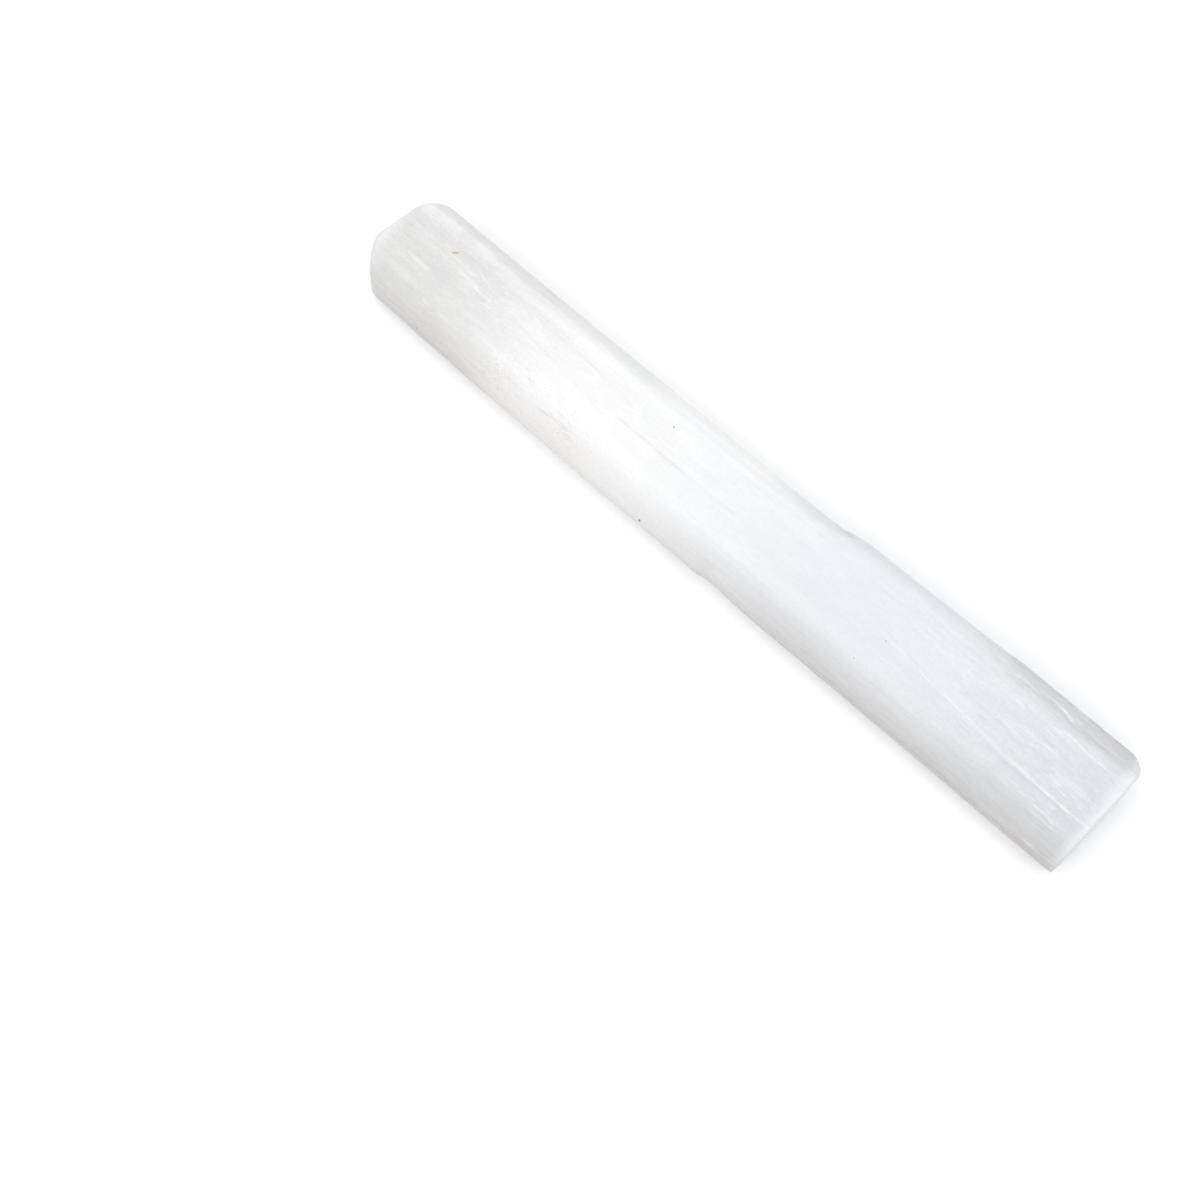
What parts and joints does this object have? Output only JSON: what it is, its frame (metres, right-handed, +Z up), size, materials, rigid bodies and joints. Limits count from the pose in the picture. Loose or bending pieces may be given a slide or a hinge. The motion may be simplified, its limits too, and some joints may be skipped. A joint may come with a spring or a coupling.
{
  "type": "selenite crystal blade",
  "caption": "Natural stick of fibrous white selenite, cut across at both ends, lying on its flat underside.",
  "frame": {"origin": "on the resting surface, under the middle of the stick's bounding box", "axes": "+X along the fibres towards the wider, squarely cut end, +Y across to the back, +Z up"},
  "size_m": [0.2, 0.0296, 0.0198],
  "materials": {
    "selenite": "silky, translucent, fibrous"
  },
  "bodies": {
    "root": {"selenite_blade": "selenite"}
  },
  "joints": []
}
